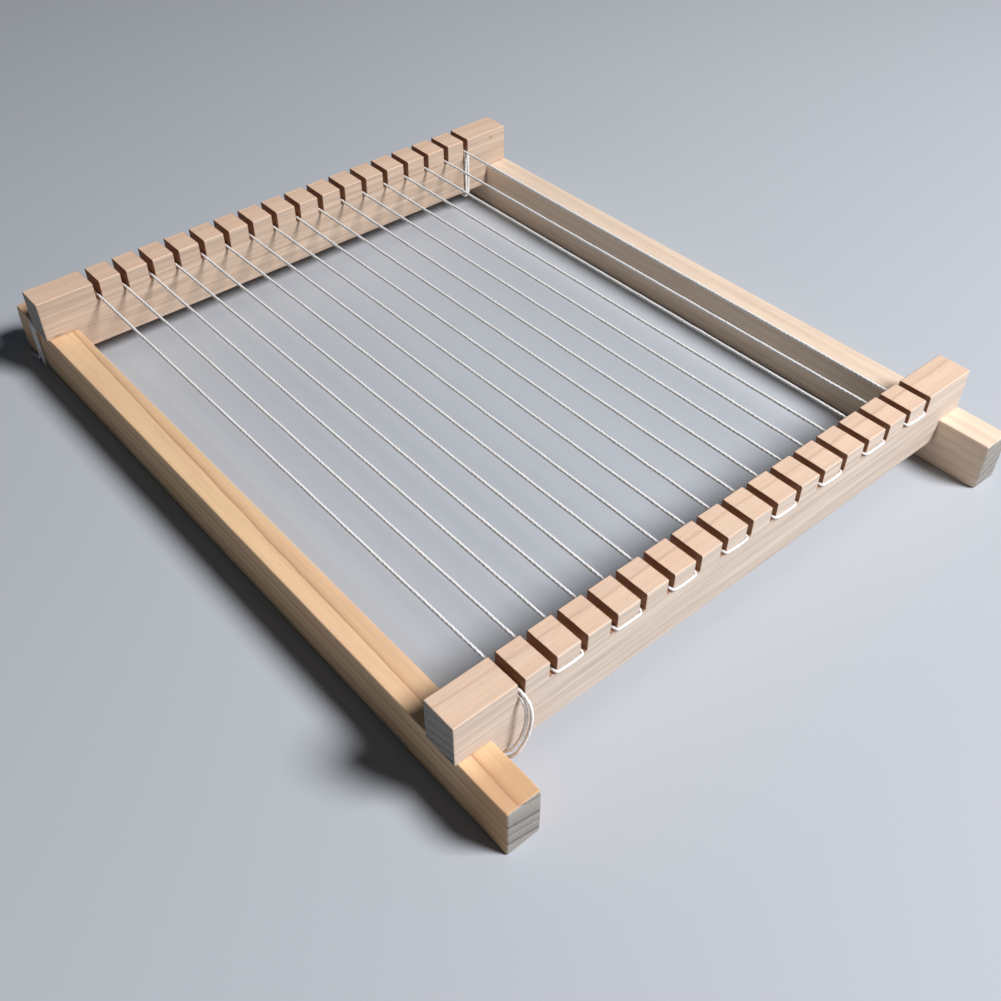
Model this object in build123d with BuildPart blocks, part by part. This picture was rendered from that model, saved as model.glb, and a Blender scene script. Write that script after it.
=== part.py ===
"""A small lap-jointed frame loom with its warp wound on.

Two plain side rails lie on the table. Two slotted crossbars are lapped over them, and a cotton yarn
runs back and forth between the slots. Millimetres, +Z up, +Y from the front crossbar to the back one.
The origin is the middle of the frame, on the table.
"""

import os
from math import pi, radians, tan

from build123d import *

os.makedirs("parts", exist_ok=True)

# Side rails
rail_length = 264.0
rail_width = 10.4
rail_height = 17.0
left_rail_outer_x = -100.45
right_rail_outer_x = 101.35
rail_edge_radius = 0.5

# Crossbars: the full height is above the rails' inner faces, and each end is notched to sit on a rail
bar_length = 202.0
bar_centre_x = -0.35
bar_thickness = 11.0
bar_top_z = 31.5
bar_bottom_z = 9.0
bar_spacing = 218.0
bar_edge_radius = 0.4

# Warp slots, laser-cut down into the top edge of each crossbar
slot_count = 17
slot_pitch = 10.0
slot_width = 2.2
front_slot_depth = 5.4
back_slot_depth = 6.4
front_slot_row_shift = -0.7
back_slot_row_shift = 0.2

# Corner screws, driven from below through each rail into the crossbar's end
screw_radius = 1.5
screw_head_radius = 3.0
screw_head_recess = 0.3
screw_tip_z = 22.5
screw_point_length = 2.5
recess_length = 3.2
recess_width = 0.7
recess_depth = 1.1

# Cotton yarn
yarn_diameter = 1.06
yarn_gap = 0.02
yarn_lean = 0.2
tuck_length = 3.0

# Derived places
left_rail_inner_x = left_rail_outer_x + rail_width
right_rail_inner_x = right_rail_outer_x - rail_width
left_rail_x = left_rail_outer_x + rail_width / 2
right_rail_x = right_rail_outer_x - rail_width / 2
front_face_y = -(bar_spacing + bar_thickness) / 2
front_rear_y = front_face_y + bar_thickness
back_face_y = front_face_y + bar_spacing
back_rear_y = back_face_y + bar_thickness
yarn_pitch = yarn_diameter + yarn_gap
face_offset = yarn_diameter / 2 + 0.07
front_thread_z = bar_top_z - front_slot_depth + yarn_diameter / 2 + yarn_gap
back_thread_z = bar_top_z - back_slot_depth + yarn_diameter / 2 + yarn_gap

# Three yarns share an end slot: two side by side on its floor and one nested above them
side = slot_width / 2 - yarn_diameter / 2 - yarn_gap
nested_rise = (yarn_pitch**2 - side**2) ** 0.5


def front_slot_x(number):
    """The middle of a front slot, counted from 1 at the left."""
    return bar_centre_x + front_slot_row_shift + (number - (slot_count + 1) / 2) * slot_pitch


def back_slot_x(number):
    """The middle of a back slot, counted from 1 at the left."""
    return bar_centre_x + back_slot_row_shift + (number - (slot_count + 1) / 2) * slot_pitch


# ---------------------------------------------------------------- side rails


def rail(name, centre_x):
    """A planed batten with eased edges and a countersunk screw hole under each crossbar."""
    with BuildPart() as batten:
        with BuildSketch(Plane.XY):
            with Locations((centre_x, 0)):
                Rectangle(rail_width, rail_length)
        extrude(amount=rail_height)
        fillet(batten.edges(), radius=rail_edge_radius)
        underside = Plane(origin=(centre_x, 0, 0), x_dir=(1, 0, 0), z_dir=(0, 0, -1))
        with Locations(underside):
            with GridLocations(0, bar_spacing, 1, 2):
                CounterSinkHole(
                    radius=screw_radius,
                    counter_sink_radius=screw_head_radius + screw_head_recess,
                    depth=rail_height,
                    counter_sink_angle=90,
                )
    batten.part.label = name
    export_step(batten.part, f"parts/{name}.step")
    return batten.part


rail("left_rail", left_rail_x)
rail("right_rail", right_rail_x)


# ---------------------------------------------------------------- slotted crossbars


def crossbar(name, rear_y, slot_x, slot_depth):
    """A slotted bar: its notched ends rest on the rails and its middle hangs between them."""
    left_end_x = bar_centre_x - bar_length / 2
    right_end_x = bar_centre_x + bar_length / 2
    middle_y = rear_y - bar_thickness / 2
    with BuildPart() as bar:
        with BuildSketch(Plane.XZ.offset(-rear_y)):
            with BuildLine():
                Polyline(
                    (left_end_x, rail_height),
                    (left_rail_inner_x, rail_height),
                    (left_rail_inner_x, bar_bottom_z),
                    (right_rail_inner_x, bar_bottom_z),
                    (right_rail_inner_x, rail_height),
                    (right_end_x, rail_height),
                    (right_end_x, bar_top_z),
                    (left_end_x, bar_top_z),
                    close=True,
                )
            make_face()
        extrude(amount=bar_thickness)
        top_edges = bar.faces().sort_by(Axis.Z)[-1].edges()
        bottom_edges = bar.faces().sort_by(Axis.Z)[0].edges().filter_by(Axis.X)
        corner_edges = bar.edges().filter_by(Axis.Z).filter_by(
            lambda edge: abs(edge.center().X - bar_centre_x) > bar_length / 2 - 1
        )
        fillet(top_edges + bottom_edges + corner_edges, radius=bar_edge_radius)
        with BuildSketch(Plane.XY.offset(bar_top_z)):
            with Locations(*[(slot_x(number), middle_y) for number in range(1, slot_count + 1)]):
                Rectangle(slot_width, bar_thickness)
        extrude(amount=-slot_depth, mode=Mode.SUBTRACT)
        with BuildSketch(Plane.XY.offset(rail_height)):
            with Locations((left_rail_x, middle_y), (right_rail_x, middle_y)):
                Circle(screw_radius)
        extrude(amount=screw_tip_z - rail_height, mode=Mode.SUBTRACT)
    bar.part.label = name
    export_step(bar.part, f"parts/{name}.step")
    return bar.part


crossbar("front_crossbar", front_rear_y, front_slot_x, front_slot_depth)
crossbar("back_crossbar", back_rear_y, back_slot_x, back_slot_depth)


# ---------------------------------------------------------------- corner screws

with BuildPart() as corner_screws:
    head_height = screw_head_radius - screw_radius
    with BuildSketch(Plane.XZ):
        with BuildLine():
            Polyline(
                (0, screw_head_recess),
                (screw_head_radius, screw_head_recess),
                (screw_radius, screw_head_recess + head_height),
                (screw_radius, screw_tip_z - screw_point_length),
                (0, screw_tip_z),
                close=True,
            )
        make_face()
    screw = revolve(axis=Axis.Z, mode=Mode.PRIVATE)
    with BuildSketch(Plane.XY.offset(screw_head_recess)) as cross:
        Rectangle(recess_length, recess_width)
        Rectangle(recess_width, recess_length)
    cross_recess = extrude(cross.sketch, amount=recess_depth, mode=Mode.PRIVATE)
    screw = screw - cross_recess
    for screw_x in (left_rail_x, right_rail_x):
        for screw_y in (-bar_spacing / 2, bar_spacing / 2):
            with Locations((screw_x, screw_y, 0)):
                add(screw)
corner_screws.part.label = "corner_screws"
export_step(corner_screws.part, "parts/corner_screws.step")


# ---------------------------------------------------------------- cotton yarn


def free_radii(points):
    """The arc of each corner of a loose route: 0.45 of the shorter run, over the tangent of half the turn."""
    radii = []
    for before, corner, after in zip(points, points[1:], points[2:]):
        run_in = Vector(*corner) - Vector(*before)
        run_out = Vector(*after) - Vector(*corner)
        half_turn = radians(run_in.get_angle(run_out)) / 2
        radii.append(0.45 * min(run_in.length, run_out.length) / tan(half_turn))
    return radii


def yarn_piece(name, points, radii):
    """A round tube along straight runs joined by tangent arcs."""
    with BuildPart() as yarn:
        with BuildLine() as route:
            FilletPolyline(*points, radius=radii)
        centreline = route.wire()
        with BuildSketch(Plane(origin=centreline @ 0, z_dir=centreline % 0)):
            Circle(yarn_diameter / 2)
        sweep(path=centreline)
    yarn.part.label = name
    export_step(yarn.part, f"parts/{name}.step")
    length = centreline.length
    section = pi * yarn_diameter**2 / 4
    print(
        name, "length", round(length, 1), "volume over section x length",
        round(yarn.part.volume / (section * length), 4),
        "radii", round(min(radii), 2), "to", round(max(radii), 2),
    )
    return yarn.part


# The warp: seventeen threads, carried from slot to slot across the outer face of each crossbar
front_turn_y = front_face_y - face_offset
back_turn_y = back_rear_y + face_offset
first_thread_z = front_thread_z + nested_rise
last_thread_z = back_thread_z + nested_rise
warp_start = (front_slot_x(1), front_face_y + tuck_length, first_thread_z)
warp_end = (back_slot_x(slot_count), back_rear_y - tuck_length, last_thread_z)
warp_route = [warp_start]
for number in range(1, slot_count):
    if number % 2 == 1:
        warp_route.append((back_slot_x(number) + yarn_lean, back_turn_y, back_thread_z))
        warp_route.append((back_slot_x(number + 1) - yarn_lean, back_turn_y, back_thread_z))
    else:
        warp_route.append((front_slot_x(number) + yarn_lean, front_turn_y, front_thread_z))
        warp_route.append((front_slot_x(number + 1) - yarn_lean, front_turn_y, front_thread_z))
warp_route.append(warp_end)
yarn_piece("warp_yarn", warp_route, [yarn_diameter] * (len(warp_route) - 2))

# The finish: the last thread goes twice round the back crossbar through its slot, and is tucked into it
finish_x = back_slot_x(slot_count)
front_run_y = back_face_y - face_offset
inner_rear_y = back_rear_y + face_offset
outer_rear_y = inner_rear_y + yarn_pitch
upper_run_z = bar_bottom_z - face_offset
lower_run_z = upper_run_z - yarn_pitch
finish_route = [
    warp_end,
    (finish_x, outer_rear_y, last_thread_z),
    (finish_x, outer_rear_y, lower_run_z),
    (finish_x - side, front_run_y, lower_run_z),
    (finish_x - side, front_run_y, back_thread_z),
    (finish_x - side, inner_rear_y, back_thread_z),
    (finish_x - side, inner_rear_y, upper_run_z),
    (finish_x + side, front_run_y, upper_run_z),
    (finish_x + side, front_run_y, back_thread_z),
    (finish_x + side, back_rear_y - tuck_length, back_thread_z),
]
yarn_piece("finish_wraps", finish_route, [yarn_diameter] * (len(finish_route) - 2))

# The start: two slack turns round the front crossbar, through its first slot
start_x = front_slot_x(1)
start_route = [
    warp_start,
    (start_x + 0.1, -116.2, first_thread_z),
    (start_x + 0.15, -118.6, 24.3),
    (start_x - 0.2, -118.9, 18.6),
    (start_x - 1.6, -118.4, 12.9),
    (start_x - 4.2, -116.5, 7.4),
    (start_x - 5.8, -112.4, 4.9),
    (start_x - 5.7, -106.6, 5.0),
    (start_x - 4.2, -101.6, 7.6),
    (start_x - 2.1, -99.6, 12.8),
    (start_x - 0.9, -99.3, 18.4),
    (start_x - side, -99.7, 23.6),
    (start_x - side, -102.4, front_thread_z + 0.05),
    (start_x - side, -111.0, front_thread_z + 0.03),
    (start_x - side, -115.6, front_thread_z + 0.05),
    (start_x - 0.6, -117.5, 23.4),
    (start_x - 1.0, -117.7, 18.2),
    (start_x - 2.3, -117.1, 13.1),
    (start_x - 4.4, -115.2, 8.5),
    (start_x - 5.4, -111.2, 6.3),
    (start_x - 4.9, -105.9, 6.5),
    (start_x - 2.9, -101.9, 9.2),
    (start_x - 0.5, -101.0, 14.3),
    (start_x + 0.4, -100.8, 19.4),
    (start_x + side, -101.0, 23.9),
    (start_x + side, -103.1, front_thread_z + 0.1),
    (start_x + side, -109.0, front_thread_z + 0.03),
]
yarn_piece("start_loops", start_route, free_radii(start_route))

# Spare yarn: three turns round the left rail's back stub, with the cut tail lying on the table
hug = rail_edge_radius + yarn_diameter / 2 + 0.02
inner_x = left_rail_inner_x + hug - rail_edge_radius
outer_x = left_rail_outer_x - hug + rail_edge_radius
over_z = rail_height + hug - rail_edge_radius
under_z = yarn_diameter / 2
spare_turns = 3
spare_y = back_rear_y + 1.0
spare_pitch = 1.2
spare_route = [(inner_x, spare_y, 5.0)]
for turn in range(spare_turns):
    turn_y = spare_y + turn * spare_pitch
    if turn > 0:
        spare_route.append((inner_x, turn_y, under_z))
    spare_route.append((inner_x, turn_y, over_z))
    spare_route.append((outer_x, turn_y + 0.1, over_z))
    if turn < spare_turns - 1:
        spare_route.append((outer_x, turn_y + 0.2, under_z))
spare_route += [
    (outer_x, spare_y + 3.0, 2.4),
    (outer_x - 0.3, spare_y + 5.0, under_z + 0.1),
    (outer_x - 1.0, spare_y + 10.6, under_z),
]
spare_radii = [hug] * (len(spare_route) - 4) + free_radii(spare_route)[-2:]
yarn_piece("spare_yarn", spare_route, spare_radii)
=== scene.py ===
import math
import random

import bmesh
import bpy
from mathutils import Matrix, Vector, noise


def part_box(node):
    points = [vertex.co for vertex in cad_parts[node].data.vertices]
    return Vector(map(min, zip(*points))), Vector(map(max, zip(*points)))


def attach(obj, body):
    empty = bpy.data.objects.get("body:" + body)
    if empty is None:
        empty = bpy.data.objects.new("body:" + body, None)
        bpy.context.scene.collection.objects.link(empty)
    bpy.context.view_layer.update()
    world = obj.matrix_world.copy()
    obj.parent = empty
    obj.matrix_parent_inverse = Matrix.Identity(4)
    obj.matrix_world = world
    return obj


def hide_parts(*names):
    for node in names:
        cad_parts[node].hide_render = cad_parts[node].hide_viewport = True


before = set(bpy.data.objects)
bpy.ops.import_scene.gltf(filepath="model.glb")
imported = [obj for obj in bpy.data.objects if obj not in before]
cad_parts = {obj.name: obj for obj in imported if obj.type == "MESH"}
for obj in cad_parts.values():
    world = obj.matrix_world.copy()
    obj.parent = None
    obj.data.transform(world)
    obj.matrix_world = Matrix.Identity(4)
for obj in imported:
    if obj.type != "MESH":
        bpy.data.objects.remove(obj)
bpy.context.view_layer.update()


# ---------------------------------------------------------------- camera

# A standard lens, a little long, stands ahead and to the left of the loom, 24 cm above the table.
# It looks down at the near half of the warp.
camera_data = bpy.data.cameras.new("camera")
camera_data.sensor_width = 36.0
camera_data.lens = 40.66
camera = bpy.data.objects.new("camera", camera_data)
camera.location = (-0.187774, -0.232122, 0.240092)
looked_at = Vector((-0.03465, -0.05258, 0.0155))
camera.rotation_mode = "QUATERNION"
camera.rotation_quaternion = (looked_at - camera.location).to_track_quat("-Z", "Y")
bpy.context.scene.collection.objects.link(camera)
bpy.context.scene.camera = camera


# ---------------------------------------------------------------- table and light

# The loom lies on a plain pale matt table. A large soft lamp stands high on the right, in front,
# so the left faces are in shade, and the room adds a little even light.
table_radius = 4.0
table_pale = "#bbc0c5"
table_grey = "#b5bac0"
lamp_from = Vector((0.33, -0.6, 0.73))
lamp_distance = 1.4
lamp_size = 0.5
lamp_watts = 27.0
lamp_colour = "#fdfcff"
room_colour = "#c9d9ea"
room_strength = 0.06


def linear(colour):
    """An sRGB hex colour as linear red, green, blue and alpha."""
    parts = [int(colour[i : i + 2], 16) / 255 for i in (1, 3, 5)]
    return (*[c / 12.92 if c <= 0.04045 else ((c + 0.055) / 1.055) ** 2.4 for c in parts], 1.0)


def put(tree, kind, values=None, links=None, stops=None, **settings):
    """Adds a node with its settings, its inputs' values and links, and a ramp's stops."""
    added = tree.nodes.new("ShaderNode" + kind)
    for name, setting in settings.items():
        setattr(added, name, setting)
    for socket, value in (values or {}).items():
        added.inputs[socket].default_value = value
    for socket, source in (links or {}).items():
        output = source if isinstance(source, bpy.types.NodeSocket) else source.outputs[0]
        tree.links.new(output, added.inputs[socket])
    for index, (position, colour) in enumerate(stops or ()):
        stop = added.color_ramp.elements[index] if index < 2 else added.color_ramp.elements.new(position)
        stop.position = position
        stop.color = colour
    return added


def new_material(name):
    """An empty node material and its tree."""
    material = bpy.data.materials.new(name)
    material.use_nodes = True
    material.node_tree.nodes.clear()
    return material, material.node_tree


def to_object(name, bm):
    """A finished bmesh as an object at the origin."""
    mesh = bpy.data.meshes.new(name)
    bm.to_mesh(mesh)
    bm.free()
    made = bpy.data.objects.new(name, mesh)
    bpy.context.scene.collection.objects.link(made)
    return made


# Matt laminate: evenly diffuse, with a faint cloudy change of tone
table_material, tree = new_material("matt_laminate")
where = put(tree, "TexCoord")
clouds = put(tree, "TexNoise", {"Scale": 3.0, "Detail": 2.0}, {"Vector": where.outputs["Object"]})
tone = put(tree, "MixRGB", {"Color1": linear(table_pale), "Color2": linear(table_grey)}, {"Fac": clouds})
surface = put(tree, "BsdfPrincipled", {"Roughness": 0.9}, {"Base Color": tone})
put(tree, "OutputMaterial", links={"Surface": surface})

table_mesh = bmesh.new()
bmesh.ops.create_circle(table_mesh, cap_ends=True, segments=96, radius=table_radius)
table = to_object("table", table_mesh)
table.data.materials.append(table_material)

lamp_data = bpy.data.lights.new("lamp", "AREA")
lamp_data.shape = "DISK"
lamp_data.size = lamp_size
lamp_data.energy = lamp_watts
lamp_data.color = linear(lamp_colour)[:3]
lamp = bpy.data.objects.new("lamp", lamp_data)
lamp.location = lamp_from.normalized() * lamp_distance
lamp.rotation_mode = "QUATERNION"
lamp.rotation_quaternion = (-lamp.location).to_track_quat("-Z", "Y")
bpy.context.scene.collection.objects.link(lamp)

room = bpy.data.worlds.new("room")
room.use_nodes = True
room.node_tree.nodes["Background"].inputs["Color"].default_value = linear(room_colour)
room.node_tree.nodes["Background"].inputs["Strength"].default_value = room_strength
bpy.context.scene.world = room
bpy.context.scene.view_settings.view_transform = "Standard"


# ---------------------------------------------------------------- left rail

# A planed pine batten that lies flat on the table. Its long edges are lightly eased by hand,
# and the corners of its ends are knocked round from handling. A screw hole is drilled up
# through it under each crossbar and countersunk from below.
edge_round = 0.0006
hole_radius = 0.0015
countersink_radius = 0.0033
hole_half_square = 0.0041
hole_sides = 24
hole_spacing = 0.218
bore_lip = 0.0005
cut_tolerance = 1e-6

# Bands cut along the edges and steps cut along the length, which let the surface wave and wear
end_band = 0.0009
edge_band = 0.0011
side_band = 0.0045
rail_step = 0.005
stub_step = 0.003

# Hand planing leaves waves about 14 and 3 mm long, and eases the edges unevenly
sawn_wave = 0.00006
long_waves = 70
short_waves = 310
short_wave_share = 0.6
wear_waves = 150
wear_unevenness = 0.45
rail_wear = 0.8
sharp_corner = math.radians(60)
round_corner = math.radians(35)

# Each tone is a place across the growth rings in mm, and how dark the wood is there
left_rail_tones = [
    (-10.5, 0.15), (-4.7, 0.05), (-4.4, 0.75), (-3.4, 0.3), (-1.0, 0.08), (-0.74, 0.5), (0.1, 0.25),
    (2.0, 0.05), (2.3, 0.8), (3.3, 0.3), (6.2, 0.1), (8.36, 0.04), (8.44, 0.95), (8.58, 0.45),
    (9.0, 0.2), (9.7, 0.12), (10.3, 0.1),
]


def cut_across(bm, axis, places):
    """Cuts the whole mesh across an axis at each place, so that its edges can wave and wear."""
    normal = Vector((0, 0, 0))
    normal[axis] = 1
    for place in places:
        bmesh.ops.bisect_plane(
            bm, geom=bm.verts[:] + bm.edges[:] + bm.faces[:], plane_co=normal * place, plane_no=normal,
            dist=cut_tolerance,
        )


def even_places(start, end, step):
    """Places between start and end, about step apart, without the ends."""
    count = max(2, round((end - start) / step))
    return [start + (end - start) * i / count for i in range(1, count)]


def ring_face(bm, centre, up, radius):
    """Opens a round hole in the square face at centre, and returns the hole's edges in order."""
    square = min(
        (face for face in bm.faces if face.normal.z * up > 0.9),
        key=lambda face: (face.calc_center_median() - centre).length,
    )
    border = square.edges[:]
    bmesh.ops.delete(bm, geom=[square], context="FACES_ONLY")
    parts = bmesh.ops.subdivide_edges(bm, edges=border, cuts=hole_sides // 4 - 1)
    divided = [*parts["geom_inner"], *parts["geom_split"], *border]
    border = list(dict.fromkeys(part for part in divided if isinstance(part, bmesh.types.BMEdge)))
    drawn = bmesh.ops.extrude_edge_only(bm, edges=[e for e in border if e.is_valid and e.is_boundary])["geom"]
    for vert in (v for v in drawn if isinstance(v, bmesh.types.BMVert)):
        vert.co = centre + (vert.co - centre).normalized() * radius
    return [e for e in drawn if isinstance(e, bmesh.types.BMEdge) and e.is_boundary]


def draw_rim(bm, rim, centre, radius_before, radius, rise):
    """Carries a hole's rim on to the next radius and height."""
    drawn = bmesh.ops.extrude_edge_only(bm, edges=rim)["geom"]
    points = [v for v in drawn if isinstance(v, bmesh.types.BMVert)]
    factor = radius / radius_before
    bmesh.ops.scale(bm, vec=(factor, factor, 1), verts=points, space=Matrix.Translation(-centre))
    bmesh.ops.translate(bm, vec=(0, 0, rise), verts=points)
    return [e for e in drawn if isinstance(e, bmesh.types.BMEdge)]


def wander_at(place):
    """A smooth wander in three directions, built on plain noise, which is the same on every run."""
    return Vector([noise.noise(place + Vector((9.3, -1.5, -8.0)) * (axis + 1)) for axis in range(3)])


def wave_and_knock(bm, kept_clear, corners):
    """Moves the surface in and out a little, as hand-planed wood has it, and rounds the worn corners."""
    for vert in bm.verts:
        if any((vert.co.xy - hole).length < hole_half_square * 1.5 for hole in kept_clear):
            continue
        wave = wander_at(vert.co * long_waves) + short_wave_share * wander_at(vert.co * short_waves)
        off_table = vert.co.z > 0.001
        vert.co += Vector((wave.x, wave.y, wave.z if off_table else 0)) * sawn_wave
    for corner, reach, inward in corners:
        for vert in bm.verts:
            near = 1 - (vert.co - corner).length / reach
            if near > 0:
                vert.co += inward * near * near


def weigh_edges(bm, weight_of):
    """Gives each sharp outer edge its own share of the bevel's width."""
    weights = bm.edges.layers.float.new("bevel_weight_edge")
    for edge in bm.edges:
        if len(edge.link_faces) == 2 and edge.calc_face_angle_signed(0) > sharp_corner:
            middle = (edge.verts[0].co + edge.verts[1].co) / 2
            uneven = 1 + wear_unevenness * noise.noise(middle * wear_waves)
            edge[weights] = max(0.0, min(1.0, weight_of(middle, edge) * uneven))


def ease(piece, width):
    """Rounds the weighed edges, with the flat faces kept flat to the eye."""
    for face in piece.data.polygons:
        face.use_smooth = True
    bevel = piece.modifiers.new("eased_edges", "BEVEL")
    bevel.limit_method = "WEIGHT"
    bevel.width = width
    bevel.segments = 3
    bevel.profile = 0.5
    bevel.use_clamp_overlap = False
    bevel.harden_normals = True


def batten(name, low, high, knocks):
    """A rail between two corners, drilled and countersunk from below for its two screws."""
    middle = (low + high) / 2
    bm = bmesh.new()
    bmesh.ops.create_cube(bm, size=1.0)
    bmesh.ops.scale(bm, vec=high - low, verts=bm.verts)
    bmesh.ops.translate(bm, vec=middle, verts=bm.verts)
    holes = [Vector((middle.x, middle.y + side * hole_spacing / 2)) for side in (-1, 1)]
    cut_across(bm, 0, [middle.x - hole_half_square, middle.x + hole_half_square])
    cut_across(bm, 1, [hole.y + side * hole_half_square for hole in holes for side in (-1, 1)])
    for hole in holes:
        foot = Vector((hole.x, hole.y, low.z))
        head = Vector((hole.x, hole.y, high.z))
        rim = ring_face(bm, foot, -1, countersink_radius)
        depth = countersink_radius - hole_radius
        rim = draw_rim(bm, rim, foot, countersink_radius, hole_radius, depth)
        rim = draw_rim(bm, rim, foot, hole_radius, hole_radius, high.z - low.z - depth - bore_lip)
        upper = ring_face(bm, head, 1, hole_radius)
        bmesh.ops.bridge_loops(bm, edges=rim + upper)
    ends = [holes[0].y - hole_half_square, holes[1].y + hole_half_square]
    cut_across(bm, 1, even_places(holes[0].y + hole_half_square, holes[1].y - hole_half_square, rail_step))
    cut_across(bm, 1, even_places(low.y, ends[0], stub_step) + even_places(ends[1], high.y, stub_step))
    cut_across(bm, 1, [low.y + end_band, high.y - end_band])
    cut_across(bm, 2, [low.z + edge_band, low.z + side_band, middle.z])
    cut_across(bm, 2, [high.z - side_band, high.z - edge_band])
    bmesh.ops.recalc_face_normals(bm, faces=bm.faces)
    hole_edges = [
        e for e in bm.edges
        if all(any((v.co.xy - hole).length < countersink_radius + 0.0001 for hole in holes) for v in e.verts)
    ]
    for edge in hole_edges:
        edge.smooth = edge.calc_face_angle(0) < round_corner
    wave_and_knock(bm, holes, knocks)
    in_holes = set(hole_edges)
    weigh_edges(bm, lambda place, edge: 0.0 if edge in in_holes else rail_wear)
    made = to_object(name, bm)
    ease(made, edge_round)
    return made


resin_duct_brown = "#a97c58"
end_grain_pale = "#b3aea5"
end_grain_dark = "#4a4039"
toasted_edge = "#d2a681"
toasted_brown = "#b38865"
charred_brown = "#a67c60"


def pine(name, low, high, grain, ring_normal, tones, early, late, rosy,
         drift=1.2, upright_shade_tones=None, browned=None, marks=(), slots=None):
    """Planed pine: pale spring wood with thin brown summer wood lines along the grain, fine silky
    fibres, a little rosy cloudiness, and greyer, rougher end grain. slots is where a laser has burnt it.
    Every length in it is in mm, from the middle of the piece."""
    material, tree = new_material(name)
    middle = (low + high) * 500
    where = put(tree, "TexCoord")
    turn = 0.0 if grain == "X" else -math.pi / 2
    shift = -middle if grain == "X" else Vector((-middle.y, middle.x, -middle.z))
    stick = put(
        tree, "Mapping", {"Scale": (1000, 1000, 1000), "Rotation": (0, 0, turn), "Location": shift},
        {"Vector": where.outputs["Object"]},
    )

    # Each noise is drawn out along the grain: its first scale is one over that length in mm
    def streaks(along, across, detail=2.0, rough=0.5):
        drawn = put(tree, "Mapping", {"Scale": (1 / along, 1 / across, 1 / across)}, {"Vector": stick})
        return put(tree, "TexNoise", {"Scale": 1.0, "Detail": detail, "Roughness": rough}, {"Vector": drawn})

    # The rings drift off straight in long, middling and short waves, each weaker than the last
    rings = put(tree, "VectorMath", {1: ring_normal}, {0: stick}, operation="DOT_PRODUCT").outputs["Value"]
    waves = ((85, 14, 1.0, 1.0), (16, 2.2, 2.0, 0.3), (5, 0.45, 2.0, 0.15))
    for along, across, detail, share in waves:
        wave = streaks(along, across, detail)
        rings = put(tree, "Math", {1: share * drift}, {0: wave, 2: rings}, operation="MULTIPLY_ADD")
    nearest, furthest = tones[0][0], tones[-1][0]
    mean_noise = 0.5 * drift * 1.45
    across_rings = put(
        tree, "MapRange", {"From Min": nearest + mean_noise, "From Max": furthest + mean_noise},
        {"Value": rings},
    )
    summer = put(
        tree, "ValToRGB", None, {"Fac": across_rings},
        [((at - nearest) / (furthest - nearest), (dark, dark, dark, 1)) for at, dark in tones],
    )
    # Real fibres are about 0.03 mm wide: they are drawn as bundles of 0.4 mm so that they show
    fibres = streaks(14, 0.42, 3.0, 0.6)
    bands = streaks(70, 2.0, 2.0)
    blush = streaks(34, 7.0, 2.0)
    ducts = put(
        tree, "ValToRGB", None, {"Fac": streaks(3.5, 0.3, 1.0)}, [(0.7, (0, 0, 0, 1)), (0.78, (1, 1, 1, 1))]
    )

    blushed = put(tree, "MapRange", {"From Min": 0.42, "From Max": 0.68, "To Max": 0.85}, {"Value": blush})
    wood = put(tree, "MixRGB", {"Color1": linear(early), "Color2": linear(rosy)}, {"Fac": blushed})
    summer_share = put(tree, "Math", {1: 0.78}, {0: summer}, operation="MULTIPLY")
    wood = put(tree, "MixRGB", {"Color2": linear(late)}, {"Fac": summer_share, "Color1": wood})
    # The fibres and the broader bands each darken and lighten the wood by about a twentieth
    shades = ((fibres, 0.28, 0.72, 0.94, 1.05), (bands, 0.3, 0.7, 0.95, 1.04))
    for pattern, darkest, lightest, dim, bright in shades:
        tone = put(
            tree, "MapRange", {"From Min": darkest, "From Max": lightest, "To Min": dim, "To Max": bright},
            {"Value": pattern},
        )
        wood = put(tree, "MixRGB", {"Fac": 1.0}, {"Color1": wood, "Color2": tone}, blend_type="MULTIPLY")
    duct_share = put(tree, "Math", {1: 0.35}, {0: ducts}, operation="MULTIPLY")
    wood = put(tree, "MixRGB", {"Color2": linear(resin_duct_brown)}, {"Fac": duct_share, "Color1": wood})

    if upright_shade_tones:
        # Painted shade: the bars' upright faces are painted greyer and darker than their tops, in long soft
        # streaks
        upright = put(tree, "SeparateXYZ", None, {"Vector": where.outputs["Normal"]}).outputs["Y"]
        upright = put(tree, "Math", None, {0: upright}, operation="ABSOLUTE")
        upright = put(tree, "MapRange", {"From Min": 0.6, "From Max": 0.9, "To Max": 0.8}, {"Value": upright})
        upright_shade = put(
            tree, "ValToRGB", None, {"Fac": streaks(48, 1.5, 3.0, 0.55)},
            [(0.36, linear(upright_shade_tones[0])), (0.66, linear(upright_shade_tones[1]))],
        )
        wood = put(tree, "MixRGB", None, {"Fac": upright, "Color1": wood, "Color2": upright_shade})

    if browned:
        # Towards one end the board turns evenly browner
        start, full, brown = browned
        place = put(tree, "SeparateXYZ", None, {"Vector": stick}).outputs["X"]
        place = put(tree, "MapRange", {"From Min": start, "From Max": full, "To Max": 0.5}, {"Value": place})
        wood = put(tree, "MixRGB", {"Color2": linear(brown)}, {"Fac": place, "Color1": wood})

    # Each mark, a pin knot or a short crack, is a small dark ellipsoid in the wood
    for centre, reach, dark in marks:
        away = put(tree, "VectorMath", {1: centre}, {0: stick}, operation="SUBTRACT")
        away = put(tree, "VectorMath", {1: reach}, {0: away}, operation="DIVIDE")
        away = put(tree, "VectorMath", None, {0: away}, operation="LENGTH").outputs["Value"]
        spot = put(tree, "MapRange", {"From Min": 1.0, "From Max": 0.35, "To Max": 0.7}, {"Value": away})
        wood = put(tree, "MixRGB", {"Color2": linear(dark)}, {"Fac": spot, "Color1": wood})

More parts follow.
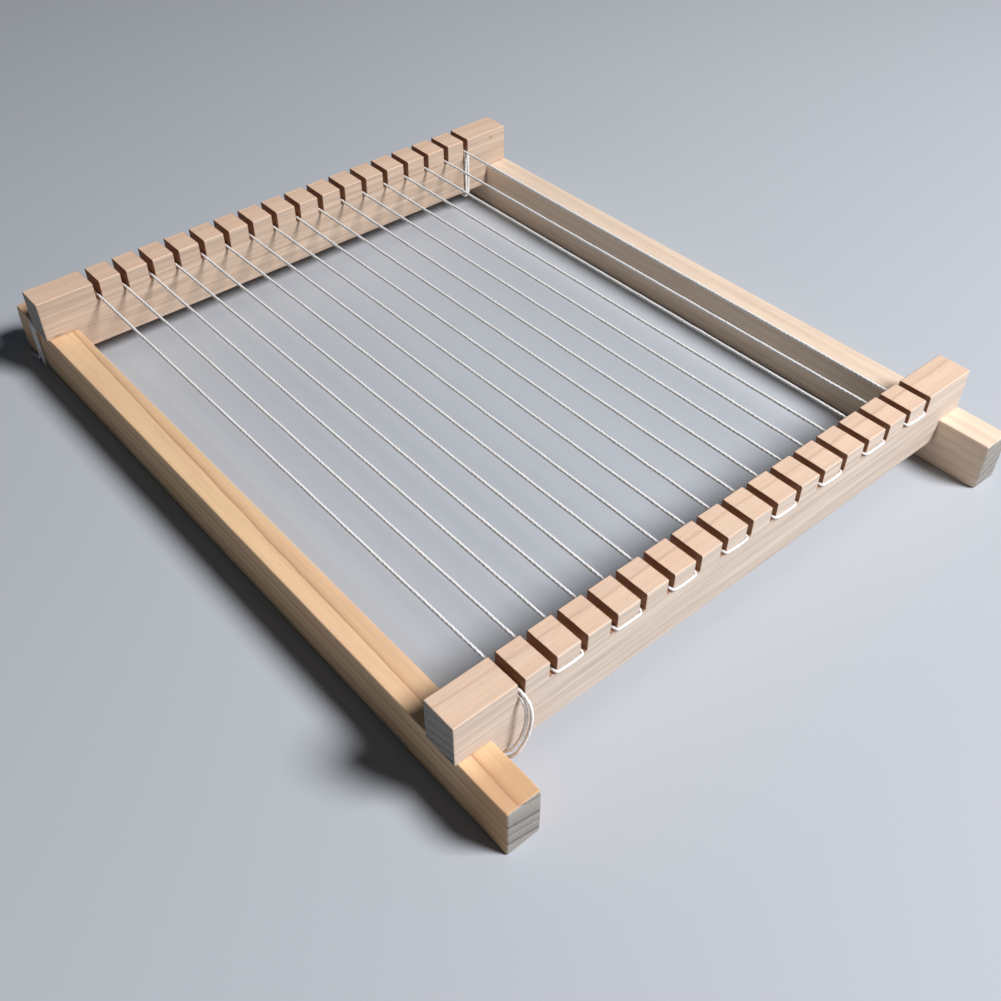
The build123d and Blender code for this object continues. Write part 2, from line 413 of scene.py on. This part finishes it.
    # End grain drinks the light: the same rings, sharper and greyer, with the dots of the cut fibres,
    # which are drawn 0.4 mm wide so that they show
    facing = put(tree, "SeparateXYZ", None, {"Vector": where.outputs["Normal"]}).outputs[grain]
    endwise = put(tree, "Math", None, {0: facing}, operation="ABSOLUTE")
    end_share = put(tree, "MapRange", {"From Min": 0.6, "From Max": 0.85}, {"Value": endwise})
    pores = put(tree, "TexNoise", {"Scale": 2.6, "Detail": 2.0, "Roughness": 0.7}, {"Vector": stick})
    pore_tone = put(
        tree, "MapRange", {"From Min": 0.3, "From Max": 0.7, "To Min": 0.66, "To Max": 1.04}, {"Value": pores}
    )
    end_wood = put(
        tree, "MixRGB", {"Color1": linear(end_grain_pale), "Color2": linear(end_grain_dark)}, {"Fac": summer}
    )
    end_wood = put(
        tree, "MixRGB", {"Fac": 1.0}, {"Color1": end_wood, "Color2": pore_tone}, blend_type="MULTIPLY"
    )
    wood = put(tree, "MixRGB", None, {"Fac": end_share, "Color1": wood, "Color2": end_wood})

    relief = put(tree, "Math", {1: -0.55}, {0: summer, 2: fibres}, operation="MULTIPLY_ADD")
    end_relief = put(tree, "Math", {1: 1.6}, {0: pores}, operation="MULTIPLY")
    relief = put(tree, "MixRGB", None, {"Fac": end_share, "Color1": relief, "Color2": end_relief})
    roughness = put(tree, "MapRange", {"To Min": 0.56, "To Max": 0.74}, {"Value": fibres})

    if slots:
        first, pitch, count, half_width, floor = slots
        separate = put(tree, "SeparateXYZ", None, {"Vector": stick})
        counted = put(
            tree, "MapRange", {"From Min": first, "From Max": first + pitch, "To Max": 1.0},
            {"Value": separate.outputs["X"]}, clamp=False,
        )
        whole = put(tree, "Math", None, {0: counted}, operation="ROUND")
        whole = put(tree, "Math", {1: 0.0}, {0: whole}, operation="MAXIMUM")
        whole = put(tree, "Math", {1: count - 1.0}, {0: whole}, operation="MINIMUM")
        from_slot = put(tree, "Math", None, {0: counted, 1: whole}, operation="SUBTRACT")
        from_slot = put(tree, "Math", None, {0: from_slot}, operation="ABSOLUTE")
        beside = put(tree, "Math", {1: pitch, 2: -half_width}, {0: from_slot}, operation="MULTIPLY_ADD")
        below = put(tree, "Math", {0: floor}, {1: separate.outputs["Z"]}, operation="SUBTRACT")
        away = put(tree, "Math", None, {0: beside, 1: below}, operation="MAXIMUM")
        # The beam's scorch creeps 0.1 to 0.4 mm over the edges, unevenly from fibre to fibre
        creep = put(tree, "TexNoise", {"Scale": 1.9, "Detail": 3.0, "Roughness": 0.65}, {"Vector": stick})
        away = put(tree, "Math", {1: -0.55}, {0: creep, 2: away}, operation="MULTIPLY_ADD")
        burnt = put(tree, "MapRange", {"From Min": 0.02, "From Max": -0.26}, {"Value": away})
        toast = put(
            tree, "ValToRGB", None, {"Fac": burnt},
            [(0.0, linear(toasted_edge)), (0.5, linear(toasted_brown)), (1.0, linear(charred_brown))],
        )
        # Fine lines run through the thickness where the beam stepped, 0.35 mm apart
        steps = put(tree, "Mapping", {"Scale": (0.3, 0.12, 2.8)}, {"Vector": stick})
        steps = put(tree, "TexNoise", {"Scale": 1.0, "Detail": 3.0, "Roughness": 0.7}, {"Vector": steps})
        step_tone = put(
            tree, "MapRange", {"From Min": 0.3, "From Max": 0.7, "To Min": 0.78, "To Max": 1.16},
            {"Value": steps},
        )
        toast = put(
            tree, "MixRGB", {"Fac": 1.0}, {"Color1": toast, "Color2": step_tone}, blend_type="MULTIPLY"
        )
        wood = put(tree, "MixRGB", None, {"Fac": burnt, "Color1": wood, "Color2": toast})
        step_relief = put(tree, "Math", {1: 1.5}, {0: steps}, operation="MULTIPLY")
        relief = put(tree, "MixRGB", None, {"Fac": burnt, "Color1": relief, "Color2": step_relief})

    bump = put(tree, "Bump", {"Strength": 0.8, "Distance": 0.00006}, {"Height": relief})
    surface = put(
        tree, "BsdfPrincipled", {"IOR": 1.5, "Specular IOR Level": 0.4},
        {"Base Color": wood, "Roughness": roughness, "Normal": bump},
    )
    put(tree, "OutputMaterial", links={"Surface": surface})
    return material


# Each worn corner has its place, how far the wear reaches, and how far the corner is pushed in
low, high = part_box("left_rail")
left_rail = batten(
    "left_rail_batten", low, high,
    [
        (Vector((high.x, low.y, high.z)), 0.0022, Vector((-0.0004, 0.0004, -0.0004))),
        (Vector((high.x, low.y, low.z)), 0.0020, Vector((-0.0003, 0.0003, 0.0004))),
        (Vector((low.x, low.y, high.z)), 0.0022, Vector((0.0003, 0.0004, -0.0003))),
        (Vector((low.x, high.y, high.z)), 0.0025, Vector((0.0005, -0.0006, -0.0004))),
    ],
)
left_rail.data.materials.append(
    pine(
        "planed_pine_left_rail", low, high, "Y", (-0.0053, -0.276, 0.961), left_rail_tones,
        "#efcb9f", "#a5714b", "#ebc29c", drift=0.5, browned=(-114.5, -122.0, "#bb8a60"),
    )
)
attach(left_rail, "root")
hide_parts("left_rail")


# ---------------------------------------------------------------- right rail

# The second batten comes from a paler board, so its lines are fewer and fainter.
# It is planed, drilled and worn like the first.
right_rail_tones = [
    (-10.5, 0.1), (-6.9, 0.05), (-6.6, 0.55), (-5.9, 0.2), (-3.2, 0.06), (-2.9, 0.6), (-2.0, 0.2),
    (0.5, 0.04), (0.75, 0.5), (1.6, 0.15), (4.1, 0.04), (4.35, 0.45), (5.2, 0.15), (7.3, 0.04),
    (7.55, 0.42), (8.3, 0.12), (10.5, 0.04),
]
low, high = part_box("right_rail")
right_rail = batten(
    "right_rail_batten", low, high,
    [
        (Vector((high.x, low.y, high.z)), 0.0026, Vector((-0.0006, 0.0007, -0.0005))),
        (Vector((low.x, low.y, high.z)), 0.0024, Vector((0.0005, 0.0006, -0.0005))),
        (Vector((low.x, low.y, low.z)), 0.0026, Vector((0.0006, 0.0006, 0.0006))),
        (Vector((high.x, high.y, high.z)), 0.0026, Vector((-0.0006, -0.0007, -0.0005))),
    ],
)
right_rail.data.materials.append(
    pine(
        "planed_pine_right_rail", low, high, "Y", (0.004, 0.32, 0.947), right_rail_tones,
        "#ecd7bf", "#cbaa8c", "#e9d1ba",
    )
)
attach(right_rail, "root")
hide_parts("right_rail")


# ---------------------------------------------------------------- front crossbar

# A taller pine bar, notched at both ends so that it sits on the rails and hangs between them.
# Seventeen slots are laser-cut down into its top edge, 10 mm apart, and their walls are burnt brown.
slot_count = 17
slot_pitch = 0.010
slot_width = 0.0022
front_slot_depth = 0.0054
bar_edge_round = 0.0005
front_slot_shift = -0.0007
edge_margin = 0.0003
bar_wear = 0.85
slot_edge_wear = 0.3

# Cuts across the bar: beside each tooth's middle, along its ends, beside the rails and the end
# slots, through its thickness, and up its lower, middle and slotted parts
tooth_step = 0.0019
bar_end_step = 0.0025
beside_rail = 0.0034
beside_end_slot = 0.0026
thickness_step = 0.0028
lower_step = 0.0027
middle_step = 0.0028
slotted_step = 0.0031
rail_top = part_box("left_rail")[1].z
rail_inner_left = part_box("left_rail")[1].x
rail_inner_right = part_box("right_rail")[0].x


def slot_places(low, high, shift):
    """The middle of each slot along the bar, from the left."""
    first = (low.x + high.x) / 2 + shift - (slot_count - 1) / 2 * slot_pitch
    return [first + i * slot_pitch for i in range(slot_count)]


def slotted_bar(name, low, high, slots, slot_depth):
    """A crossbar: its side view is cut to shape, with the slots and the notches over the rails,
    and drawn out to the bar's thickness."""
    slot_floor = high.z - slot_depth
    bm = bmesh.new()
    bmesh.ops.create_grid(bm, x_segments=1, y_segments=1, size=0.5)
    bmesh.ops.rotate(bm, verts=bm.verts, matrix=Matrix.Rotation(math.pi / 2, 3, "X"))
    bmesh.ops.scale(bm, vec=(high.x - low.x, 1, high.z - low.z), verts=bm.verts)
    bmesh.ops.translate(bm, vec=((low.x + high.x) / 2, low.y, (low.z + high.z) / 2), verts=bm.verts)
    cut_across(bm, 0, [slot + side * slot_width / 2 for slot in slots for side in (-1, 1)])
    cut_across(bm, 0, [rail_inner_left, rail_inner_right])
    cut_across(bm, 2, [slot_floor, rail_top])
    waste = []
    for face in bm.faces:
        middle = face.calc_center_median()
        in_slot = middle.z > slot_floor and any(abs(middle.x - slot) < slot_width / 2 for slot in slots)
        over_rail = middle.z < rail_top and not rail_inner_left < middle.x < rail_inner_right
        if in_slot or over_rail:
            waste.append(face)
    bmesh.ops.delete(bm, geom=waste, context="FACES")
    drawn = bmesh.ops.extrude_face_region(bm, geom=bm.faces[:])["geom"]
    points = [v for v in drawn if isinstance(v, bmesh.types.BMVert)]
    bmesh.ops.translate(bm, vec=(0, high.y - low.y, 0), verts=points)
    bmesh.ops.recalc_face_normals(bm, faces=bm.faces)
    teeth = [(a + b) / 2 for a, b in zip(slots, slots[1:])]
    cut_across(bm, 0, [tooth + part * tooth_step for tooth in teeth for part in (-1, 0, 1)])
    cut_across(bm, 0, even_places(low.x, rail_inner_left, bar_end_step))
    cut_across(bm, 0, even_places(rail_inner_right, high.x, bar_end_step))
    cut_across(bm, 0, [rail_inner_left + beside_rail, slots[0] - beside_end_slot])
    cut_across(bm, 0, [slots[-1] + beside_end_slot, rail_inner_right - beside_rail])
    cut_across(bm, 1, even_places(low.y, high.y, thickness_step))
    cut_across(bm, 2, even_places(low.z, rail_top, lower_step))
    cut_across(bm, 2, even_places(rail_top, slot_floor, middle_step))
    cut_across(bm, 2, even_places(slot_floor, high.z, slotted_step))
    wave_and_knock(bm, [], [])

    def share(place, edge):
        """Outer edges are worn round, and the laser leaves the slots' edges crisp."""
        beside_slot = any(abs(place.x - slot) < slot_width / 2 + edge_margin for slot in slots)
        return slot_edge_wear if beside_slot and place.z > slot_floor - edge_margin else bar_wear

    weigh_edges(bm, share)
    made = to_object(name, bm)
    ease(made, bar_edge_round)
    return made


def ring_tones(start, end, spacing, strength, seed):
    """Growth rings for a bar: each darkens at once, then fades back within half the ring.
    A colour ramp holds 32 stops, so no ring starts past the 29th."""
    chance = random.Random(seed)
    tones = [(start, 0.08)]
    place = start + spacing * 0.6
    while place < end - spacing * 0.7 and len(tones) < 29:
        dark = strength * chance.uniform(0.45, 1.0)
        faded = place + spacing * chance.uniform(0.25, 0.45)
        tones += [(place - 0.22, 0.04), (place, dark), (faded, dark * 0.25)]
        place += spacing * chance.uniform(0.75, 1.25)
    return tones + [(end, 0.06)]


low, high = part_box("front_crossbar")
front_slots = slot_places(low, high, front_slot_shift)
front_bar = slotted_bar("front_crossbar_bar", low, high, front_slots, front_slot_depth)
front_bar_tones = [
    (-13.0, 0.1), (-10.4, 0.7), (-9.6, 0.2), (-8.4, 0.06), (-8.1, 0.8), (-7.2, 0.25), (-5.9, 0.06),
    (-5.6, 0.75), (-4.9, 0.3), (-3.6, 0.08), (-3.3, 0.95), (-2.3, 0.25), (-0.9, 0.05), (-0.6, 0.6),
    (0.3, 0.2), (2.0, 0.04), (2.3, 0.5), (3.0, 0.15), (5.0, 0.03), (5.3, 0.42), (6.2, 0.12), (8.2, 0.02),
    (8.5, 0.35), (9.2, 0.12), (11.0, 0.03), (11.13, 0.6), (11.4, 0.15), (13.4, 0.08),
]
front_bar.data.materials.append(
    pine(
        "planed_pine_front_bar", low, high, "X", (0.0, 0.27, 0.963), front_bar_tones,
        # The upright faces' two tones are painted shade, greyer than the tops
        "#e6c9af", "#b8927a", "#e6c3a8", upright_shade_tones=("#d9cdc0", "#beb1a3"),
        slots=(
            (front_slots[0] - (low.x + high.x) / 2) * 1000, slot_pitch * 1000, slot_count,
            slot_width * 500, (high.z - front_slot_depth - (low.z + high.z) / 2) * 1000,
        ),
    )
)
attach(front_bar, "root")
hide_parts("front_crossbar")


# ---------------------------------------------------------------- back crossbar

# The second bar is cut like the first and carries the far loops; its upright faces carry a darker painted
# shade than the front bar's.
# Its slots stand 0.9 mm further right than the front ones, as the two were cut apart.
back_slot_shift = 0.0002
back_slot_depth = 0.0064
pin_knot = ((93.35, -5.5, 8.65), (1.1, 2.0, 0.8), "#9a7456")
end_crack = ((-96.9, -5.5, -2.4), (2.9, 1.2, 0.3), "#6b4a35")
low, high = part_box("back_crossbar")
back_slots = slot_places(low, high, back_slot_shift)
back_bar = slotted_bar("back_crossbar_bar", low, high, back_slots, back_slot_depth)
back_bar.data.materials.append(
    pine(
        "planed_pine_back_bar", low, high, "X", (0.0, -0.3, 0.954), ring_tones(-13.5, 13.5, 2.9, 0.6, 5),
        # The upright faces' two tones are painted shade, darker than on the front bar
        "#e8c9ae", "#bd9479", "#e6c1a5", upright_shade_tones=("#cdb8a3", "#ab9885"), marks=(pin_knot, end_crack),
        slots=(
            (back_slots[0] - (low.x + high.x) / 2) * 1000, slot_pitch * 1000, slot_count,
            slot_width * 500, (high.z - back_slot_depth - (low.z + high.z) / 2) * 1000,
        ),
    )
)
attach(back_bar, "root")
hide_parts("back_crossbar")


# ---------------------------------------------------------------- corner screws

# Four zinc-plated countersunk steel screws, driven up through the rails into the crossbars.
# Only their cross-recessed heads show, on the underside.
# Bright zinc: a cool grey metal, with a faint yellow passivation and a slightly uneven gloss in
# patches about 1 mm wide.
screw_metal, tree = new_material("zinc_plated_steel")
where = put(tree, "TexCoord")
patches = put(tree, "TexNoise", {"Scale": 900.0, "Detail": 3.0}, {"Vector": where.outputs["Object"]})
plated = put(tree, "MixRGB", {"Color1": linear("#b9bcbf"), "Color2": linear("#c6c0a4")}, {"Fac": patches})
dulled = put(tree, "MapRange", {"To Min": 0.26, "To Max": 0.46}, {"Value": patches})
uneven = put(tree, "Bump", {"Strength": 0.3, "Distance": 0.00002}, {"Height": patches})
surface = put(
    tree, "BsdfPrincipled", {"Metallic": 1.0}, {"Base Color": plated, "Roughness": dulled, "Normal": uneven}
)
put(tree, "OutputMaterial", links={"Surface": surface})
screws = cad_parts["corner_screws"]
for material_slot in screws.material_slots:
    material_slot.material = screw_metal


# ---------------------------------------------------------------- warp yarn

# One length of undyed cotton yarn, two plies twisted together, 1.06 mm thick. It runs back and
# forth through the slots and crosses to the next slot on the outer face of each bar,
# and the pull on it holds it down on the slots' floors.
yarn_radius = 0.00053
yarn_waist = 0.00043
twist_pitch = 0.0036
ring_step = 0.00043
section_points = 10
ply_roundness = 0.8
yarn_wander = 0.00006
yarn_unevenness = 0.12
drawn_thinner = 0.22
thinning_length = 0.0008
end_rings = 6
cut_end_size = 0.62
weld_distance = 1e-7

# It lies 0.02 mm off the slots' floors. In the two end slots it lies 0.93 mm higher, in the
# hollow between two turns of the loops or the wraps.
floor_gap = 0.00002
nested_rise = 0.00093
front_height = high.z - front_slot_depth + yarn_radius + floor_gap
back_height = high.z - back_slot_depth + yarn_radius + floor_gap
first_height = front_height + nested_rise
last_height = back_height + nested_rise
front_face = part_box("front_crossbar")[0].y
back_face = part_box("back_crossbar")[1].y
face_gap = 0.0005


def smooth_line(name, points):
    """The middle line of a yarn: a smooth curve that its route's points steer."""
    curve = bpy.data.curves.new(name, "CURVE")
    curve.dimensions = "3D"
    curve.resolution_u = 16
    spline = curve.splines.new("NURBS")
    spline.points.add(len(points) - 1)
    for control, point in zip(spline.points, points):
        control.co = (*point, 1)
    spline.order_u = 3
    spline.use_endpoint_u = True
    bare = bpy.data.objects.new(name, curve)
    mesh = bpy.data.meshes.new_from_object(bare)
    line = [v.co.copy() for v in mesh.vertices]
    bpy.data.objects.remove(bare)
    bpy.data.curves.remove(curve)
    bpy.data.meshes.remove(mesh)
    return line


def walk(line, step):
    """Places along a line, one each step, with the distance gone."""
    gone, wanted, places = 0.0, 0.0, []
    for start, end in zip(line, line[1:]):
        run = (end - start).length
        while run > 0 and wanted <= gone + run:
            places.append((start.lerp(end, (wanted - gone) / run), wanted))
            wanted += step
        gone += run
    return places


def two_ply(name, line, seed, pressed_past=1.0):
    """Two plies twisted round each other, as one skin that turns as it follows the line. It is a
    little uneven in thickness, and an attribute says where on the ply each point is. Past
    pressed_past along Y it is drawn tight over the wood, and so thinner."""
    section_curve = bpy.data.curves.new(name + "_section", "CURVE")
    section = section_curve.splines.new("POLY")
    section.points.add(section_points - 1)
    for i, point in enumerate(section.points):
        angle = 2 * math.pi * i / section_points
        radius = yarn_waist + (yarn_radius - yarn_waist) * abs(math.cos(angle)) ** ply_roundness
        point.co = (radius * math.cos(angle), radius * math.sin(angle), 0, 1)
    section.use_cyclic_u = True
    section_object = bpy.data.objects.new(name + "_section", section_curve)
    bpy.context.scene.collection.objects.link(section_object)

    places = walk(line, ring_step)
    curve = bpy.data.curves.new(name, "CURVE")
    curve.dimensions = "3D"
    curve.bevel_mode = "OBJECT"
    curve.bevel_object = section_object
    curve.use_fill_caps = True
    spline = curve.splines.new("POLY")
    spline.points.add(len(places) - 1)
    for i, (point, (place, gone)) in enumerate(zip(spline.points, places)):
        wander = wander_at(Vector((gone * 120, seed * 7.3, 0))) * yarn_wander
        wander += wander_at(Vector((gone * 420, seed * 3.1, 5))) * yarn_wander * 0.35
        uneven = 1 + yarn_unevenness * noise.noise(Vector((gone * 260, seed, 9)))
        held = min(1.0, i / end_rings, (len(places) - 1 - i) / end_rings)
        uneven *= 1 - drawn_thinner * max(0.0, min(1.0, (abs(place.y) - pressed_past) / thinning_length))
        point.co = (*(place + wander * held), 1)
        twist_slip = 0.9 * noise.noise(Vector((gone * 90, seed, 3)))
        point.tilt = (gone / twist_pitch * 2 * math.pi + twist_slip) % (2 * math.pi)
        point.radius = uneven * (cut_end_size + (1 - cut_end_size) * min(1.0, held * 3))
    swept = bpy.data.objects.new(name + "_swept", curve)
    bpy.context.scene.collection.objects.link(swept)
    shown = swept.evaluated_get(bpy.context.evaluated_depsgraph_get())
    mesh = bpy.data.meshes.new_from_object(shown)
    mesh.name = name
    for face in mesh.polygons:
        face.use_smooth = True
    on_ply = mesh.attributes.new("on_ply", "FLOAT_VECTOR", "POINT")
    for i in range(len(mesh.vertices)):
        ring, around = divmod(i, section_points)
        angle = 2 * math.pi * around / section_points
        gone = min(ring, len(places) - 1) * ring_step
        on_ply.data[i].vector = (gone * 1000, math.cos(angle), math.sin(angle))
    bpy.data.objects.remove(swept)
    bpy.data.curves.remove(curve)
    bpy.data.objects.remove(section_object)
    bpy.data.curves.remove(section_curve)
    # The ends' caps are welded on, which closes the skin, and its faces are turned outward
    skin = bmesh.new()
    skin.from_mesh(mesh)
    bmesh.ops.remove_doubles(skin, verts=skin.verts, dist=weld_distance)
    bmesh.ops.recalc_face_normals(skin, faces=skin.faces)
    skin.to_mesh(mesh)
    skin.free()
    mesh.materials.clear()
    mesh.materials.append(cotton)
    made = bpy.data.objects.new(name, mesh)
    bpy.context.scene.collection.objects.link(made)
    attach(made, "root")
    return made


# Spun undyed cotton: soft white, with painted shade in warm brown in the crease between the plies. The
# hair-fine fibres,
# 0.02 mm thick, are drawn as strands of 0.15 mm so that they show.
cotton_shade = "#ebe8e3"
cotton_white = "#fefdfb"
crease_shade_brown = "#c9b9a8"
cotton, tree = new_material("spun_cotton")
on_ply = put(tree, "Attribute", attribute_name="on_ply", attribute_type="GEOMETRY")
drawn = put(tree, "Mapping", {"Scale": (0.8, 3.2, 3.2)}, {"Vector": on_ply.outputs["Vector"]})
strands = put(tree, "TexNoise", {"Scale": 1.0, "Detail": 3.0, "Roughness": 0.65}, {"Vector": drawn})
slubs = put(tree, "Mapping", {"Scale": (0.09, 0.4, 0.4)}, {"Vector": on_ply.outputs["Vector"]})
slubs = put(tree, "TexNoise", {"Scale": 1.0, "Detail": 1.0}, {"Vector": slubs})
# Painted shade: the crease at the waist between the two plies is darkened towards brown
lobe = put(tree, "SeparateXYZ", None, {"Vector": on_ply.outputs["Vector"]})
lobe = put(tree, "Math", None, {0: lobe.outputs["Y"]}, operation="ABSOLUTE")
painted_crease_shade = put(tree, "MapRange", {"From Min": 0.4, "From Max": 0.0, "To Max": 0.4}, {"Value": lobe})
fibre_tone = put(
    tree, "ValToRGB", None, {"Fac": strands}, [(0.3, linear(cotton_shade)), (0.6, linear(cotton_white))]
)
slub_tone = put(
    tree, "MapRange", {"From Min": 0.3, "From Max": 0.7, "To Min": 0.93, "To Max": 1.03}, {"Value": slubs}
)
white = put(tree, "MixRGB", {"Fac": 1.0}, {"Color1": fibre_tone, "Color2": slub_tone}, blend_type="MULTIPLY")
white = put(tree, "MixRGB", {"Color2": linear(crease_shade_brown)}, {"Fac": painted_crease_shade, "Color1": white})
fuzz = put(tree, "Bump", {"Strength": 0.7, "Distance": 0.00008}, {"Height": strands})
surface = put(
    tree, "BsdfPrincipled",
    {
        "Roughness": 0.92, "Specular IOR Level": 0.25, "Sheen Weight": 0.35, "Sheen Roughness": 0.5,
        "Subsurface Weight": 0.5, "Subsurface Radius": (1.0, 0.95, 0.9), "Subsurface Scale": 0.0006,
    },
    {"Base Color": white, "Normal": fuzz},
)
put(tree, "OutputMaterial", links={"Surface": surface})

# At each turn the route has a point 2.2 mm inside the bar's face and one 0.4 mm past it, both leaning
# to the tooth, and then one on the face, 0.7 mm beyond the tooth's corner. Between the bars it is
# straight from a point 17 mm inside the face.
straight_from = 0.017
turn_from = 0.0022
turn_lean = 0.0004
past_face = 0.0004
past_face_lean = 0.0006
beyond_slot = 0.0018
slack_out = 0.00005
slack_down = 0.0001
least_sag = 0.00002
sag_spread = 0.00008
warp_start = (front_slots[0], front_face + 0.003, first_height)
warp_end = (back_slots[-1], back_face - 0.003, last_height)
warp_route = [warp_start, (front_slots[0], front_face + straight_from, first_height)]
for crossing in range(slot_count - 1):
    at_back = crossing % 2 == 0
    slots = back_slots if at_back else front_slots
    face, outward = (back_face, 1) if at_back else (front_face, -1)
    left, right = slots[crossing], slots[crossing + 1]
    slack = Vector((0, slack_out * outward, -slack_down)) * noise.noise(Vector((crossing * 3.7, 1.5, 0)))
    sag = least_sag + sag_spread * random.Random(crossing).random()
    height = back_height if at_back else front_height
    if crossing == 0:
        warp_route.append((left + 0.0001, face - outward * straight_from, height + 0.0002))
    else:
        warp_route.append((left, face - outward * straight_from, height))
    warp_route += [
        (left + turn_lean, face - outward * turn_from, height),
        (left + past_face_lean, face + outward * past_face, height),
        (left + beyond_slot, face + outward * face_gap, height - sag / 2),
        Vector(((left + right) / 2, face + outward * (face_gap + 0.0001), height - sag)) + slack,
        (right - beyond_slot, face + outward * face_gap, height - sag / 2),
        (right - past_face_lean, face + outward * past_face, height),
        (right - turn_lean, face - outward * turn_from, height),
        (right, face - outward * straight_from, height),
    ]
warp_route += [(back_slots[-1], back_face - straight_from, last_height), warp_end]

# The two outer faces stand equally far out along Y, so one distance serves for both
drawn_past = back_face - 0.0006
warp = two_ply("warp_yarn_spun", smooth_line("warp_route", warp_route), 1, drawn_past)
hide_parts("warp_yarn")


# ---------------------------------------------------------------- finish wraps

# The same yarn at the end of the warp: it goes twice round the back bar through its last slot,
# pulled tight, and its end is tucked into the slot under its own turns.
finish_x = back_slots[-1]
half_pitch = 0.00055
off_wood = 0.0006
next_turn = 0.0011
bar_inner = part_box("back_crossbar")[0].y - off_wood
bar_outer = back_face + off_wood
outer_turn = bar_outer + next_turn
under_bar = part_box("back_crossbar")[0].z - off_wood
lower_turn = under_bar - next_turn
finish_route = [
    warp_end,
    (finish_x, outer_turn - 0.0013, last_height),
    (finish_x, outer_turn, last_height - 0.0002),
    (finish_x, outer_turn, last_height - 0.003),
    (finish_x - 0.0002, outer_turn + 0.0001, 0.0165),
    (finish_x, outer_turn, lower_turn + 0.002),
    (finish_x, outer_turn, lower_turn),
    (finish_x - 0.0001, outer_turn - 0.002, lower_turn),
    (finish_x - half_pitch, bar_inner + 0.002, lower_turn),
    (finish_x - half_pitch, bar_inner, lower_turn),
    (finish_x - half_pitch, bar_inner, lower_turn + 0.002),
    (finish_x - half_pitch - 0.0001, bar_inner, 0.0175),
    (finish_x - half_pitch, bar_inner, back_height - 0.0014),
    (finish_x - half_pitch, bar_inner, back_height),
    (finish_x - half_pitch, bar_inner + 0.0014, back_height),
    (finish_x - half_pitch, bar_outer - 0.0014, back_height),
    (finish_x - half_pitch, bar_outer, back_height),
    (finish_x - half_pitch, bar_outer, back_height - 0.002),
    (finish_x - half_pitch, bar_outer, under_bar + 0.002),
    (finish_x - half_pitch, bar_outer, under_bar),
    (finish_x - half_pitch, bar_outer - 0.002, under_bar),
    (finish_x + half_pitch, bar_inner + 0.002, under_bar),
    (finish_x + half_pitch, bar_inner, under_bar),
    (finish_x + half_pitch, bar_inner, under_bar + 0.002),
    (finish_x + half_pitch + 0.0001, bar_inner - 0.0001, 0.0165),
    (finish_x + half_pitch, bar_inner, back_height - 0.0014),
    (finish_x + half_pitch, bar_inner, back_height),
    (finish_x + half_pitch, bar_inner + 0.0014, back_height),
    (finish_x + half_pitch, back_face - 0.002, back_height),
]
finish = two_ply("finish_wraps_spun", smooth_line("finish_route", finish_route), 2)
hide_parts("finish_wraps")


# ---------------------------------------------------------------- start loops

# The beginning of the yarn: two slack turns hang round the front bar through its first slot,
# a few millimetres clear of the wood in front, below and behind.
start_x = front_slots[0]
start_route = [
    warp_start,
    (start_x + 0.0001, -0.1162, first_height),
    (start_x + 0.00015, -0.1181, 0.0243),
    (start_x - 0.0002, -0.1183, 0.0186),
    (start_x - 0.0016, -0.1178, 0.0129),
    (start_x - 0.0042, -0.1165, 0.0074),
    (start_x - 0.0058, -0.1124, 0.0049),
    (start_x - 0.0057, -0.1066, 0.0050),
    (start_x - 0.0042, -0.1016, 0.0076),
    (start_x - 0.0021, -0.0996, 0.0128),
    (start_x - 0.0009, -0.0993, 0.0184),
    (start_x - half_pitch, -0.0997, 0.0236),
    (start_x - half_pitch, -0.1024, front_height + 0.00005),
    (start_x - half_pitch, -0.1110, front_height + 0.00003),
    (start_x - half_pitch, -0.1156, front_height + 0.00005),
    (start_x - 0.0006, -0.1171, 0.0234),
    (start_x - 0.0010, -0.1172, 0.0182),
    (start_x - 0.0023, -0.1167, 0.0131),
    (start_x - 0.0044, -0.1152, 0.0085),
    (start_x - 0.0054, -0.1112, 0.0063),
    (start_x - 0.0049, -0.1059, 0.0065),
    (start_x - 0.0029, -0.1019, 0.0092),
    (start_x - 0.0005, -0.1010, 0.0143),
    (start_x + 0.0004, -0.1008, 0.0194),
    (start_x + half_pitch, -0.1010, 0.0239),
    (start_x + half_pitch, -0.1031, front_height + 0.0001),
    (start_x + half_pitch, -0.1090, front_height + 0.00003),
]
start_line = smooth_line("start_route", start_route)
start = two_ply("start_loops_spun", start_line, 3)
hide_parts("start_loops")


# ---------------------------------------------------------------- spare yarn

# The spare end is wound three turns round the left rail behind the back bar,
# and its cut tail lies on the table.
low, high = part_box("left_rail")
off_rail = 0.00055
inner_side = high.x + off_rail
outer_side = low.x - off_rail
over_rail = high.z + off_rail
under_rail = yarn_radius
bend = 0.0011
wound_y = back_face + 0.001
spare_turns = 3
turn_pitch = 0.0012
spare_route = [(inner_side, wound_y, 0.005)]
for turn in range(spare_turns):
    y = wound_y + turn * turn_pitch
    if turn > 0:
        spare_route += [
            (inner_side - bend, y, under_rail), (inner_side, y, under_rail),
            (inner_side, y, under_rail + bend),
        ]
    spare_route += [
        (inner_side, y, over_rail - bend), (inner_side, y, over_rail), (inner_side - bend, y, over_rail),
        (outer_side + bend, y + 0.0001, over_rail), (outer_side, y + 0.0001, over_rail),
        (outer_side, y + 0.0001, over_rail - bend),
    ]
    if turn < spare_turns - 1:
        spare_route += [
            (outer_side, y + 0.0002, under_rail + bend), (outer_side, y + 0.0002, under_rail),
            (outer_side + bend, y + 0.0002, under_rail),
        ]
spare_route += [
    (outer_side, wound_y + 0.003, 0.0024),
    (outer_side - 0.0003, wound_y + 0.005, 0.00063),
    (outer_side - 0.001, wound_y + 0.0106, 0.00053),
]
spare = two_ply("spare_yarn_spun", smooth_line("spare_route", spare_route), 4)
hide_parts("spare_yarn")
